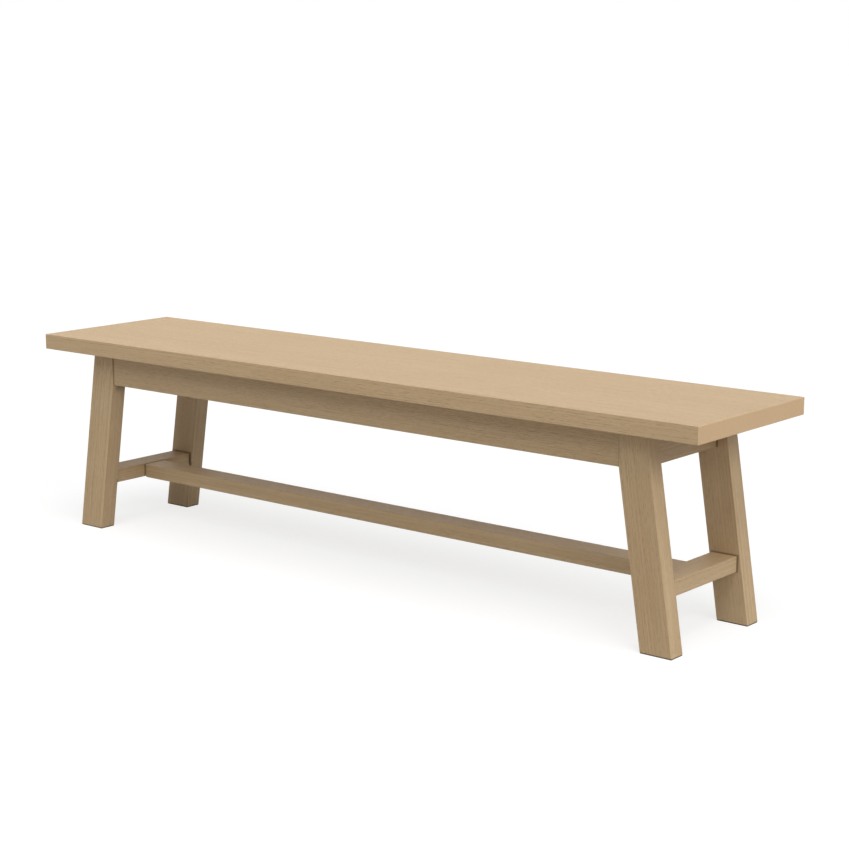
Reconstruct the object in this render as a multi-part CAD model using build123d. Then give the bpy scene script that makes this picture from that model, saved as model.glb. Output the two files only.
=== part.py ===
from build123d import *

import os
from math import cos, radians, sqrt, tan

# A long oak bench: a seat slab on four leaning legs, with an apron, two cross rails and one stretcher.
# Lengths are in millimetres. X runs along the bench, Y across it and Z up from the floor.
# The origin is on the floor, under the middle of the seat. The front of the bench faces -Y.

# Seat
seat_length = 1800.0
seat_width = 390.0
seat_thickness = 35.0
seat_height = 460.0
seat_arris = 1.2

# Legs: they lean outwards along the bench and stand upright across it.
# The seat overhangs the feet's outer edges at its ends, and the legs' faces along its sides.
end_overhang = 66.5
side_overhang = 35.0
leg_width = 70.0
leg_thickness = 40.0
leg_lean = 9.0
leg_arris = 1.0
corner_flat = 6.0

# Felt pads under the feet
pad_thickness = 2.0
pad_inset = 0.3
pad_corner = 1.2

# Aprons: the long ones set back from the legs' faces, the short ones from the legs' outer edges
apron_height = 72.0
apron_thickness = 22.0
apron_setback = 3.0
apron_gap = 1.0
end_apron_setback = 15.0
end_apron_gap = 3.0
end_tenon_thickness = 10.0
end_tenon_shoulder = 12.0
end_tenon_depth = 18.0

# Cross rails and stretcher
rail_width = 58.0
rail_height = 32.0
rail_underside = 108.0
rail_setback = 5.5
rail_gap = 3.0
rail_tenon_width = 42.0
rail_tenon_height = 16.0
rail_tenon_depth = 24.0
stretcher_width = 58.0
stretcher_height = 32.0
stretcher_drop = 2.0
stretcher_gap = 2.0
frame_arris = 1.0

# Cross braces under the seat
brace_width = 60.0
brace_height = 22.0
brace_spacing = 470.0

# Dowels, and the glue room around tenons and dowels
dowel_diameter = 10.0
dowel_length = 40.0
dowel_edge = 18.0
dowel_chamfer = 1.0
stretcher_dowel_spacing = 30.0
brace_dowel_diameter = 8.0
brace_dowel_length = 30.0
brace_dowel_depth = 12.0
brace_dowel_spacing = 30.0
joint_fit = 0.05
glue_room = 1.0

# Corner blocks and the bolts that draw the legs into them
block_thickness = 24.0
block_margin = 6.0
block_gap = 4.0
bolt_diameter = 6.0
bolt_in_leg = 26.0
bolt_stub = 4.0
bolt_clearance = 0.4
washer_diameter = 18.0
washer_thickness = 1.6
nut_across_flats = 10.0
nut_thickness = 5.0
nut_chamfer = 0.6

# Wood screws
screw_diameter = 4.0
screw_point = 3.0
screw_head_diameter = 7.5
screw_head_height = 2.4
screw_head_round = 0.8
recess_width = 1.0
recess_span = 4.4
recess_depth = 1.3
counterbore_clearance = 0.4
block_screw_seat = 9.0
block_screw_bite = 15.0
block_screw_margin = 14.0
brace_screw_seat = 14.0
brace_screw_bite = 20.0
brace_screw_spacing = 150.0
bracket_screw_bite = 14.0

# Steel angle brackets between the aprons and the seat
bracket_leg = 22.0
bracket_width = 30.0
bracket_thickness = 2.0
bracket_bend = 3.0
bracket_corner = 3.0
bracket_hole_clearance = 0.3
bracket_spacing = 450.0

# How far every cut runs past the surface that it opens
overrun = 1.0

# Places worked out from the sizes above
frame_top = seat_height - seat_thickness
apron_underside = frame_top - apron_height
apron_middle = frame_top - apron_height / 2
leg_face = seat_width / 2 - side_overhang
leg_inside = leg_face - leg_thickness
leg_level_width = leg_width / cos(radians(leg_lean))


def leg_outer_edge(height):
    """X of the leg's outer edge at a height above the floor, on the right-hand side."""
    return seat_length / 2 - end_overhang - height * tan(radians(leg_lean))


def leg_inner_edge(height):
    """X of the leg's leaning inner edge at a height above the floor, on the right-hand side."""
    return leg_outer_edge(height) - leg_level_width


leg_shoulder = leg_inner_edge(apron_underside)
apron_face = leg_face - apron_setback
apron_inside = apron_face - apron_thickness
end_apron_face = leg_outer_edge(frame_top) - end_apron_setback
end_apron_inside = end_apron_face - apron_thickness
rail_top = rail_underside + rail_height
rail_face = leg_outer_edge(rail_top) - rail_setback
rail_inside = rail_face - rail_width
rail_middle = rail_face - rail_width / 2
stretcher_top = rail_top - stretcher_drop
stretcher_middle = stretcher_top - stretcher_height / 2
dowel_heights = (apron_underside + dowel_edge, frame_top - dowel_edge)

# The bolt's line runs square to the corner block, through the leg's inside corner.
# Distances along it are measured from the point where its line crosses the bench's long centre line.
diagonal = sqrt(2)
bolt_start = leg_shoulder - leg_inside
flat_distance = leg_inside * diagonal + corner_flat
block_outer = flat_distance - block_gap
block_inner = block_outer - block_thickness


def box_between(low, high):
    """A block given by its lowest and highest corners."""
    size = [b - a for a, b in zip(low, high)]
    middle = [(a + b) / 2 for a, b in zip(low, high)]
    return Pos(*middle) * Box(*size)


def rod(start, direction, diameter, length):
    """A round rod from a start point, along a direction."""
    plane = Plane(origin=start, z_dir=direction)
    return plane * Cylinder(diameter / 2, length, align=(Align.CENTER, Align.CENTER, Align.MIN))


def mirrored(part, left=False, back=False):
    """A piece of the bench's front right quarter, carried over to another quarter."""
    if left:
        part = mirror(part, about=Plane.YZ)
    if back:
        part = mirror(part, about=Plane.XZ)
    return part


def at_both_ends(parts):
    """Pieces of the right-hand end, and the same pieces at the left-hand end."""
    return parts + [mirrored(part, left=True) for part in parts]


def at_both_sides(parts):
    """Pieces of the front side, and the same pieces at the back."""
    return parts + [mirrored(part, back=True) for part in parts]


def drill(part, tools):
    """The part with a hole for each tool."""
    for tool in tools:
        part -= tool
    return part


# Fasteners and dowels
def dowel(middle, direction, diameter, length):
    """A wooden dowel with chamfered ends, about a middle point."""
    plane = Plane(origin=middle, z_dir=direction)
    body = Cylinder(diameter / 2, length)
    return plane * chamfer(body.edges().filter_by(GeomType.CIRCLE), dowel_chamfer)


def dowel_hole(middle, direction, diameter, length):
    """The hole for one dowel in both pieces, with room for glue past its ends."""
    plane = Plane(origin=middle, z_dir=direction)
    return plane * Cylinder(diameter / 2 + joint_fit, length + 2 * glue_room)


def screw(seat, direction, under_head):
    """A pan-head wood screw. Its head rests at the seat point and its shank runs along the direction."""
    plane = Plane(origin=seat, z_dir=direction)
    bottom = (Align.CENTER, Align.CENTER, Align.MIN)
    top = (Align.CENTER, Align.CENTER, Align.MAX)
    shank = Cylinder(screw_diameter / 2, under_head - screw_point, align=bottom)
    tip = Pos(0, 0, under_head - screw_point) * Cone(screw_diameter / 2, 0, screw_point, align=bottom)
    head = Cylinder(screw_head_diameter / 2, screw_head_height, align=top)
    head = fillet(head.edges().filter_by(GeomType.CIRCLE).sort_by(Axis.Z)[0], screw_head_round)
    slot_depth = recess_depth + overrun
    slot = Box(recess_span, recess_width, slot_depth, align=bottom)
    cross = Pos(0, 0, -screw_head_height - overrun) * (slot + Rot(0, 0, 90) * slot)
    return plane * (head + shank + tip - cross)


def screw_hole(seat, direction, under_head):
    """The hole that a screw cuts for its shank, from its seat."""
    return rod(seat, direction, screw_diameter + 2 * joint_fit, under_head + joint_fit)


def counterbore(seat, direction, depth):
    """The wide hole that takes a screw's head down to its seat, against the screw's direction."""
    against = [-value for value in direction]
    return rod(seat, against, screw_head_diameter + 2 * counterbore_clearance, depth)


# Legs
def leg(left, back):
    """A leaning leg with an upright shoulder for the apron, its mortises and its dowel and bolt holes."""
    outline = Polyline(
        (leg_inner_edge(pad_thickness), pad_thickness),
        (leg_outer_edge(pad_thickness), pad_thickness),
        (leg_outer_edge(frame_top), frame_top),
        (leg_shoulder, frame_top),
        (leg_shoulder, apron_underside),
        close=True,
    )
    inside = Plane.XZ.offset(leg_inside)
    part = extrude(inside * make_face(outline), leg_thickness)
    rising = [edge for edge in part.edges() if edge.bounding_box().size.Z > apron_height / 2]
    part = fillet(rising + part.edges().group_by(Axis.Z)[0], leg_arris)
    part -= corner_cut()
    part = drill(part, [rail_mortise(), end_apron_mortise(), bolt_hole(bolt_diameter, joint_fit)])
    part = drill(part, apron_dowels(dowel_hole))
    return mirrored(part, left, back)


def corner_cut():
    """The wedge that takes off the leg's inside corner behind the apron, square to the bolt."""
    reach = corner_flat * diagonal
    wedge = Polyline(
        (leg_shoulder - overrun, -leg_inside + overrun),
        (leg_shoulder + reach + overrun, -leg_inside + overrun),
        (leg_shoulder - overrun, -leg_inside - reach - overrun),
        close=True,
    )
    return Pos(0, 0, apron_underside) * extrude(make_face(wedge), apron_height + overrun)


def foot_pad(left, back):
    """A felt pad that follows the foot's outline a little way in from its edges."""
    low = (leg_inner_edge(pad_thickness) + pad_inset, -leg_face + pad_inset, 0)
    high = (leg_outer_edge(pad_thickness) - pad_inset, -leg_inside - pad_inset, pad_thickness)
    pad = box_between(low, high)
    return mirrored(fillet(pad.edges().filter_by(Axis.Z), pad_corner), left, back)


# Long aprons
def long_apron(back):
    """The apron along one side, held between the legs' shoulders."""
    reach = leg_shoulder - apron_gap
    part = box_between((-reach, -apron_face, apron_underside), (reach, -apron_inside, frame_top))
    part = fillet(part.edges().filter_by(Axis.X).group_by(Axis.Z)[0], frame_arris)
    part = drill(part, at_both_ends(apron_dowels(dowel_hole)))
    part = drill(part, at_both_ends(brace_dowels(dowel_hole)))
    part = drill(part, at_both_ends(block_screws_in_long_apron(screw_hole)))
    part = drill(part, side_brackets(bracket_apron_screw_hole))
    return mirrored(part, back=back)


def apron_dowels(make):
    """The dowels, or their holes, between the long apron and the leg at the front right."""
    y = -(apron_face + apron_inside) / 2
    x = leg_shoulder - apron_gap / 2
    return [make((x, y, z), (1, 0, 0), dowel_diameter, dowel_length) for z in dowel_heights]


# Short aprons
def end_apron(left):
    """The apron at one end, tenoned into the two legs."""
    reach = leg_inside - end_apron_gap
    low = (end_apron_inside, -reach, apron_underside)
    part = box_between(low, (end_apron_face, reach, frame_top))
    part = fillet(part.edges().filter_by(Axis.Y).group_by(Axis.Z)[0], frame_arris)
    part += end_apron_tenons(0, 0)
    part = drill(part, at_both_sides(block_screws_in_end_apron(screw_hole)))
    part = drill(part, [bracket_apron_screw_hole(end_bracket_plane())])
    return mirrored(part, left)


def end_apron_tenons(fit, room):
    """A short apron's two tenons as one bar, grown by the fit, and by the room at its ends."""
    x = (end_apron_face + end_apron_inside) / 2
    half = end_tenon_thickness / 2 + fit
    reach = leg_inside + end_tenon_depth + room
    low = (x - half, -reach, apron_underside + end_tenon_shoulder - fit)
    return box_between(low, (x + half, reach, frame_top - end_tenon_shoulder + fit))


def end_apron_mortise():
    """The mortises for a short apron's tenons."""
    return end_apron_tenons(joint_fit, glue_room)


# Cross rails
def rail(left):
    """The low rail across one end, tenoned into the two legs with a shadow gap at each shoulder."""
    reach = leg_inside - rail_gap
    part = box_between((rail_inside, -reach, rail_underside), (rail_face, reach, rail_top))
    part = fillet(part.edges(), frame_arris)
    part += rail_tenons(0, 0)
    part = drill(part, stretcher_dowels(dowel_hole))
    return mirrored(part, left)


def rail_tenons(fit, room):
    """A cross rail's two tenons as one bar, grown by the fit, and by the room at its ends."""
    half = rail_tenon_width / 2 + fit
    z = (rail_underside + rail_top) / 2
    rise = rail_tenon_height / 2 + fit
    reach = leg_inside + rail_tenon_depth + room
    return box_between((rail_middle - half, -reach, z - rise), (rail_middle + half, reach, z + rise))


def rail_mortise():
    """The mortises for a cross rail's tenons."""
    return rail_tenons(joint_fit, glue_room)


# Stretcher
def stretcher():
    """The long centre rail, doweled between the two cross rails."""
    reach = rail_inside - stretcher_gap
    low = (-reach, -stretcher_width / 2, stretcher_top - stretcher_height)
    part = box_between(low, (reach, stretcher_width / 2, stretcher_top))
    part = fillet(part.edges(), frame_arris)
    return drill(part, at_both_ends(stretcher_dowels(dowel_hole)))


def stretcher_dowels(make):
    """The dowels, or their holes, between the stretcher and the right-hand cross rail."""
    x = rail_inside - stretcher_gap / 2
    half = stretcher_dowel_spacing / 2
    return [make((x, y, stretcher_middle), (1, 0, 0), dowel_diameter, dowel_length) for y in (-half, half)]


# Cross braces
def cross_brace(left):
    """A brace under the seat, between the two long aprons."""
    x = brace_spacing / 2
    half = brace_width / 2
    low = (x - half, -apron_inside, frame_top - brace_height)
    part = box_between(low, (x + half, apron_inside, frame_top))
    part = fillet(part.edges().filter_by(Axis.Y).group_by(Axis.Z)[0], frame_arris)
    part = drill(part, at_both_sides(brace_dowels(dowel_hole)))
    part = drill(part, brace_screws(screw_hole) + brace_screws(brace_screw_counterbore))
    return mirrored(part, left)


def brace_dowels(make):
    """The dowels, or their holes, between the front apron and the right-hand cross brace."""
    y = -apron_inside - brace_dowel_depth + brace_dowel_length / 2
    z = frame_top - brace_height / 2
    half = brace_dowel_spacing / 2
    places = [(brace_spacing / 2 + side * half, y, z) for side in (-1, 1)]
    return [make(place, (0, 1, 0), brace_dowel_diameter, brace_dowel_length) for place in places]


def brace_screws(make):
    """The screws, or their holes, up through the right-hand cross brace into the seat."""
    z = frame_top - brace_screw_seat
    places = [(brace_spacing / 2, side * brace_screw_spacing / 2, z) for side in (-1, 1)]
    return [make(place, (0, 0, 1), brace_screw_seat + brace_screw_bite) for place in places]


def brace_screw_counterbore(seat, direction, under_head):
    """The counterbore below one of the brace's screws."""
    return counterbore(seat, direction, brace_height - brace_screw_seat + overrun)


# Corner blocks
def corner_block(left, back):
    """The block across the inside corner of the apron, behind the leg, bolted to it."""
    reach = bolt_start + block_inner * diagonal
    outer = bolt_start + block_outer * diagonal
    outline = Polyline(
        (reach - apron_inside, -apron_inside),
        (outer - apron_inside, -apron_inside),
        (end_apron_inside, end_apron_inside - outer),
        (end_apron_inside, end_apron_inside - reach),
        close=True,
    )
    height = apron_height - 2 * block_margin
    part = Pos(0, 0, apron_underside + block_margin) * extrude(make_face(outline), height)
    part = chamfer(part.faces().sort_by(Axis.Z)[0].edges(), frame_arris)
    part -= bolt_hole(bolt_diameter + 2 * bolt_clearance, joint_fit)
    screws = (block_screws_in_long_apron, block_screws_in_end_apron)
    for group in screws:
        part = drill(part, group(screw_hole) + group(block_screw_counterbore))
    return mirrored(part, left, back)


def bolt_point(distance):
    """The point at a distance along the bolt's line."""
    step = distance / diagonal
    return (bolt_start + step, -step, apron_middle)


def bolt_hole(diameter, fit):
    """The bolt's hole, from in front of the block to the bolt's end in the leg."""
    start = block_inner - overrun
    end = flat_distance + bolt_in_leg + joint_fit
    return rod(bolt_point(start), (1, -1, 0), diameter + 2 * fit, end - start)


def block_screws_in_long_apron(make):
    """The screws, or their holes, from the front right block into the long apron."""
    x = bolt_start + (block_inner + block_outer) / 2 * diagonal - apron_inside
    places = [(x, -apron_inside + block_screw_seat, z) for z in block_screw_heights()]
    return [make(place, (0, -1, 0), block_screw_seat + block_screw_bite) for place in places]


def block_screws_in_end_apron(make):
    """The screws, or their holes, from the front right block into the short apron."""
    y = end_apron_inside - bolt_start - (block_inner + block_outer) / 2 * diagonal
    places = [(end_apron_inside - block_screw_seat, y, z) for z in block_screw_heights()]
    return [make(place, (1, 0, 0), block_screw_seat + block_screw_bite) for place in places]


def block_screw_heights():
    """The heights of the block's two rows of screws."""
    return (apron_underside + block_screw_margin, frame_top - block_screw_margin)


def block_screw_counterbore(seat, direction, under_head):
    """The counterbore for one of the block's screws."""
    return counterbore(seat, direction, block_thickness)


def hanger_bolt():
    """The threaded bolt from inside the leg, through the corner block and its nut."""
    start = block_inner - washer_thickness - nut_thickness - bolt_stub
    length = flat_distance + bolt_in_leg - start
    bolt = rod(bolt_point(start), (1, -1, 0), bolt_diameter, length)
    return chamfer(bolt.edges().filter_by(GeomType.CIRCLE), nut_chamfer)


def bolt_washer():
    """The washer on the corner block's inside face."""
    plane = Plane(origin=bolt_point(block_inner - washer_thickness), z_dir=(1, -1, 0))
    bottom = (Align.CENTER, Align.CENTER, Align.MIN)
    ring = Cylinder(washer_diameter / 2, washer_thickness, align=bottom)
    hole = Cylinder(bolt_diameter / 2 + bolt_clearance, washer_thickness, align=bottom)
    return plane * (ring - hole)


def bolt_nut():
    """The hexagon nut on the washer, with its corners turned off."""
    plane = Plane(origin=bolt_point(block_inner - washer_thickness - nut_thickness), z_dir=(1, -1, 0))
    bottom = (Align.CENTER, Align.CENTER, Align.MIN)
    flats = RegularPolygon(nut_across_flats / 2, side_count=6, major_radius=False)
    corner_radius = nut_across_flats / 2 / cos(radians(30))
    turned = Cylinder(corner_radius, nut_thickness, align=bottom)
    turned = chamfer(turned.edges().filter_by(GeomType.CIRCLE), nut_chamfer)
    hole = Cylinder(bolt_diameter / 2 + joint_fit, nut_thickness, align=bottom)
    return plane * (extrude(flats, nut_thickness) & turned) - plane * hole


# Seat brackets: each is made on a plane at the line where the apron's inside meets the seat's underside.
# The plane's X runs along the apron, its Y into the bench and its Z up.
def bracket_plane(x, y, turn):
    """A bracket's plane at a place on the seat's underside, turned about the vertical."""
    return Plane(Location((x, y, frame_top), (0, 0, turn)))


def side_bracket_planes():
    """The planes of the brackets along the front apron."""
    return [bracket_plane(place * bracket_spacing, -apron_inside, 0) for place in (-1, 0, 1)]


def end_bracket_plane():
    """The plane of the bracket on the right-hand apron."""
    return bracket_plane(end_apron_inside, 0, 90)


def side_brackets(make):
    """One thing made at each bracket along the front apron."""
    return [make(plane) for plane in side_bracket_planes()]


def all_brackets(make):
    """One thing made at every bracket of the bench."""
    return at_both_sides(side_brackets(make)) + at_both_ends([make(end_bracket_plane())])


def bracket(plane):
    """A steel angle with rounded corners, one leg on the apron and one under the seat."""
    half = bracket_width / 2
    upright = box_between((-half, 0, -bracket_leg), (half, bracket_thickness, 0))
    level = box_between((-half, 0, -bracket_thickness), (half, bracket_leg, 0))
    upright = fillet(upright.edges().filter_by(Axis.Y).group_by(Axis.Z)[0], bracket_corner)
    level = fillet(level.edges().filter_by(Axis.Z).group_by(Axis.Y)[-1], bracket_corner)
    angle = upright + level
    crease = (0, bracket_thickness, -bracket_thickness)
    outer_edge = angle.edges().filter_by(Axis.X).sort_by_distance((0, 0, 0))[0]
    angle = fillet(outer_edge, bracket_bend)
    inner_edge = angle.edges().filter_by(Axis.X).sort_by_distance(crease)[0]
    angle = fillet(inner_edge, bracket_bend - bracket_thickness)
    hole = screw_diameter + 2 * bracket_hole_clearance
    inward, below = bracket_screw_places()
    angle -= rod(below, (0, -1, 0), hole, bracket_thickness)
    angle -= rod(inward, (0, 0, 1), hole, bracket_thickness)
    return plane * angle


def bracket_screw_places():
    """Where a bracket's two screws sit, on its level leg and on its upright leg."""
    middle = (bracket_leg + bracket_thickness) / 2
    return (0, middle, -bracket_thickness), (0, bracket_thickness, -middle)


def bracket_seat_screw(plane):
    """The screw up into the seat."""
    return plane * screw(bracket_screw_places()[0], (0, 0, 1), bracket_screw_bite)


def bracket_apron_screw(plane):
    """The screw into the apron."""
    return plane * screw(bracket_screw_places()[1], (0, -1, 0), bracket_screw_bite)


def bracket_seat_screw_hole(plane):
    """The hole of the screw up into the seat."""
    return plane * screw_hole(bracket_screw_places()[0], (0, 0, 1), bracket_screw_bite)


def bracket_apron_screw_hole(plane):
    """The hole of the screw into the apron."""
    return plane * screw_hole(bracket_screw_places()[1], (0, -1, 0), bracket_screw_bite)


# Seat
def seat_top():
    """The seat slab with softened edges and blind screw holes in its underside."""
    low = (-seat_length / 2, -seat_width / 2, frame_top)
    part = box_between(low, (seat_length / 2, seat_width / 2, seat_height))
    part = fillet(part.edges(), seat_arris)
    part = drill(part, at_both_ends(brace_screws(screw_hole)))
    return drill(part, all_brackets(bracket_seat_screw_hole))


def write(name, parts):
    """One STEP file for a node, with its piece or its group of like pieces."""
    solids = [solid for part in parts for solid in part.solids()]
    shape = solids[0] if len(solids) == 1 else Compound(solids)
    shape.label = name
    export_step(shape, f"parts/{name}.step")


def main():
    """Writes every piece of the bench."""
    os.makedirs("parts", exist_ok=True)
    corners = [(left, back) for left in (False, True) for back in (False, True)]
    end_names = {False: "right", True: "left"}
    side_names = {False: "front", True: "back"}
    write("seat_top", [seat_top()])
    write("stretcher", [stretcher()])
    for left, end in end_names.items():
        write(f"apron_{end}", [end_apron(left)])
        write(f"cross_rail_{end}", [rail(left)])
        write(f"cross_brace_{end}", [cross_brace(left)])
    for back, side in side_names.items():
        write(f"apron_{side}", [long_apron(back)])
    for left, back in corners:
        place = f"{side_names[back]}_{end_names[left]}"
        write(f"leg_{place}", [leg(left, back)])
        write(f"foot_pad_{place}", [foot_pad(left, back)])
        write(f"corner_block_{place}", [corner_block(left, back)])
    block_screws = block_screws_in_long_apron(screw) + block_screws_in_end_apron(screw)
    write("apron_dowels", at_both_ends(at_both_sides(apron_dowels(dowel))))
    write("stretcher_dowels", at_both_ends(stretcher_dowels(dowel)))
    write("brace_dowels", at_both_ends(at_both_sides(brace_dowels(dowel))))
    write("hanger_bolts", at_both_ends(at_both_sides([hanger_bolt()])))
    write("bolt_washers", at_both_ends(at_both_sides([bolt_washer()])))
    write("bolt_nuts", at_both_ends(at_both_sides([bolt_nut()])))
    write("block_screws", at_both_ends(at_both_sides(block_screws)))
    write("brace_screws", at_both_ends(brace_screws(screw)))
    write("seat_brackets", all_brackets(bracket))
    write("bracket_seat_screws", all_brackets(bracket_seat_screw))
    write("bracket_apron_screws", all_brackets(bracket_apron_screw))


main()
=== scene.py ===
from math import cos, pi, radians, sin, sqrt, tan
from random import Random

import bmesh
import bpy
from bpy.props import FloatProperty, FloatVectorProperty, IntProperty, PointerProperty
from mathutils import Euler, Matrix, Vector, noise


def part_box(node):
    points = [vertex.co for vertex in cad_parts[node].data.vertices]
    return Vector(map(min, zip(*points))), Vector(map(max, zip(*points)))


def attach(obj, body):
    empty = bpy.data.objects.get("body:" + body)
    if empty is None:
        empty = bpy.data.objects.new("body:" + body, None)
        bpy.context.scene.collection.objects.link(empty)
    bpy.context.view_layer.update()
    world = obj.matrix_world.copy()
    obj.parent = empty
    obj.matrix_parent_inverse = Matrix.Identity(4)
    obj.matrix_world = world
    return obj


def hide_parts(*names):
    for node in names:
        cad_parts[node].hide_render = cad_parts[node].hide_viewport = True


bl_info = {
    "name": "Long Oak Bench",
    "version": (1, 0, 0),
    "blender": (4, 5, 0),
    "location": "3D View > Sidebar > Oak Bench",
    "description": "Dresses a long bench in oak, steel and felt, and sets it in a plain studio",
    "category": "Add Mesh",
}

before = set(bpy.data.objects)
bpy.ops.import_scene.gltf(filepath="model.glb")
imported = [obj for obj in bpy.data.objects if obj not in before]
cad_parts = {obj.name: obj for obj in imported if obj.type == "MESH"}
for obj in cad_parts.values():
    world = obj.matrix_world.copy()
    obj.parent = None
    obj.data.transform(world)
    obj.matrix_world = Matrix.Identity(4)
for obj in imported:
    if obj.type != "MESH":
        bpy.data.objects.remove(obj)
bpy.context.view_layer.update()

BODY = "root"
ENDS = ("left", "right")
SIDES = ("front", "back")
X, Y, Z = range(3)
MERGE_DISTANCE = 1e-6
SHARP_ANGLE = radians(35)
BAKE_MAP = "OFBake"
STRIP_MARGIN = 0.004
WHITE = (1, 1, 1, 1)

# How each piece's grain lies: the turn that brings its length onto the pattern's X axis.
ALONG_BENCH = Euler((0, 0, 0))
ACROSS_BENCH = Euler((0, 0, radians(-90)))

# The blur of the edge of a tint, such as the painted shade line round a joint.
LINE_BLUR = 0.0004

# Stronger streaks in the oak: how often they change in a metre along the pattern's axes, with
# their detail and roughness. Crosswise ones change across the bench, and level ones with height.
CROSSWISE_STREAKS = ((1.5, 140, 0), 3.0, 0.6)
LEVEL_STREAKS = ((1.5, 0, 140), 3.0, 0.6)


def paint(red, green, blue):
    """A display colour of 0 to 255 as linear light."""
    shares = [value / 255 for value in (red, green, blue)]
    return tuple(s / 12.92 if s <= 0.04045 else ((s + 0.055) / 1.055) ** 2.4 for s in shares)


def colour_property(name, description, default):
    """A colour that a user can change."""
    return FloatVectorProperty(
        name=name, description=description, subtype="COLOR", size=3, min=0, max=1, default=default
    )


def length_property(name, description, default):
    """A length that a user can change."""
    return FloatProperty(
        name=name, description=description, unit="LENGTH", min=0, precision=5, default=default
    )


def share_property(name, description, default):
    """A share of 0 to 1 that a user can change."""
    return FloatProperty(
        name=name, description=description, subtype="FACTOR", min=0, max=1, default=default
    )


def lamp_property(name, description, default):
    """A light that a user can change.

    At 1 a surface that faces it looks as bright as its colour is written.
    """
    return FloatProperty(name=name, description=description, min=0, precision=3, default=default)


class WoodSettings(bpy.types.PropertyGroup):
    """Colours and surface of the lacquered oak and of the bare beech, and the painted shade round
    the oak's joints.
    """

    oak_light: colour_property(
        "Light oak", "Dense late wood between the pores", paint(211, 184, 145)
    )
    oak_dark: colour_property("Dark oak", "Open early wood of each ring", paint(192, 162, 122))
    oak_pores: colour_property("Oak pores", "Shaded bottoms of the pores", paint(132, 103, 74))
    oak_pale: colour_property(
        "Pale oak", "Tint of the seat slab, strongest on its sanded ends", paint(232, 194, 150)
    )
    # Painted shade: a dark tint laid round the joints and on the legs behind the long aprons, where
    # shadow falls.
    painted_joint_shade: colour_property(
        "Joint shade", "Painted shade round the joints and behind the long aprons", paint(129, 110, 83)
    )
    beech_light: colour_property("Light beech", "Ground colour of the dowels", paint(224, 196, 160))
    beech_dark: colour_property(
        "Dark beech", "Flecks and rings of the dowels", paint(196, 160, 122)
    )
    ring_spacing: length_property("Ring spacing", "Usual distance between two growth rings", 0.0034)
    pore_depth: length_property("Pore depth", "How deep the lacquer sinks into the pores", 0.00025)
    roughness: share_property("Roughness", "Roughness of the matt lacquer", 0.5)


class JoinerySettings(bpy.types.PropertyGroup):
    """Edges, shoulders and tenons of the wooden pieces, as in the solids that they stand for."""

    seat_arris: length_property("Seat arris", "Radius of the seat's softened edges", 0.0012)
    frame_arris: length_property("Frame arris", "Radius of the frame's softened edges", 0.001)
    arris_segments: IntProperty(
        name="Arris segments", description="Faces round each softened edge", min=1, default=3
    )
    leg_lean: FloatProperty(
        name="Leg lean", description="Outward lean of the legs along the bench",
        subtype="ANGLE", default=radians(9),
    )
    corner_flat: length_property(
        "Corner flat", "Cut off each leg's inside corner behind the apron", 0.006
    )
    shoulder_gap: length_property(
        "Shoulder gap", "Shadow gap between a shoulder and the leg", 0.003
    )
    # Painted shade: how far the dark line round each joint and the shade behind each long apron
    # reach.
    shade_reach: length_property(
        "Shade reach", "How far the dark line round a joint reaches at the left end", 0.0038
    )
    near_shade_reach: length_property(
        "Near shade reach", "How far that line reaches at the right end", 0.0024
    )
    corner_shade: length_property(
        "Corner shade", "Depth of the shade that gathers behind a long apron", 0.012
    )
    rail_tenon: FloatVectorProperty(
        name="Rail tenon", description="Width and height of a rail's tenon",
        unit="LENGTH", size=2, default=(0.042, 0.016),
    )
    apron_tenon: FloatVectorProperty(
        name="Apron tenon", description="Width and height of a short apron's tenon",
        unit="LENGTH", size=2, default=(0.010, 0.048),
    )


class HardwareSettings(bpy.types.PropertyGroup):
    """Threads, metals and felt."""

    bolt_radius: length_property(
        "Bolt radius", "Outside radius of the hanger bolt's threads", 0.003
    )
    machine_pitch: length_property("Machine pitch", "Pitch of the thread that takes the nut", 0.001)
    wood_pitch: length_property("Wood pitch", "Pitch of the thread in the leg", 0.0024)
    thread_depth: length_property("Thread depth", "Depth of the thread that takes the nut", 0.00055)
    zinc: colour_property("Zinc", "Zinc plating", paint(206, 207, 203))
    black: colour_property("Black", "Black coating of the seat brackets", paint(34, 34, 35))
    felt: colour_property("Felt", "Felt under the feet", paint(98, 82, 63))


class StudioSettings(bpy.types.PropertyGroup):
    """Camera, lamps and floor."""

    lens: FloatProperty(
        name="Lens", description="Focal length of the camera",
        subtype="DISTANCE_CAMERA", default=82.07,
    )
    camera_place: FloatVectorProperty(
        name="Camera place", description="Where the camera stands",
        subtype="TRANSLATION", unit="LENGTH", default=(2.681854, -3.133385, 1.126044),
    )
    camera_turn: FloatVectorProperty(
        name="Camera turn", description="Turn of the camera",
        subtype="EULER", unit="ROTATION", default=(radians(90 - 11.0163), 0, radians(39.4505)),
    )
    sky: lamp_property("Sky", "Light from all round", 0.262)
    top: lamp_property("Top lamp", "High light, a little to the front and right", 0.36)
    front: lamp_property("Front lamp", "Light from the front, halfway up", 0.162)
    low: lamp_property("Low lamp", "Low light from the front and right", 0.218)
    side: lamp_property("Side lamp", "Light from the right end", 0.186)
    floor_size: length_property("Floor size", "Side of the floor", 120.0)
    floor_grey: colour_property(
        "Floor grey", "How much light the floor sends back up", paint(179, 179, 179)
    )
    shadow: share_property("Shadow", "How much of the bench's shadow the floor shows", 0.3)


# Meshes
def bar(low, high):
    """A mesh of a plain block between two corners."""
    bm = bmesh.new()
    bmesh.ops.create_cube(bm, size=1)
    bmesh.ops.scale(bm, vec=high - low, verts=bm.verts)
    bmesh.ops.translate(bm, vec=(low + high) / 2, verts=bm.verts)
    return bm


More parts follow.
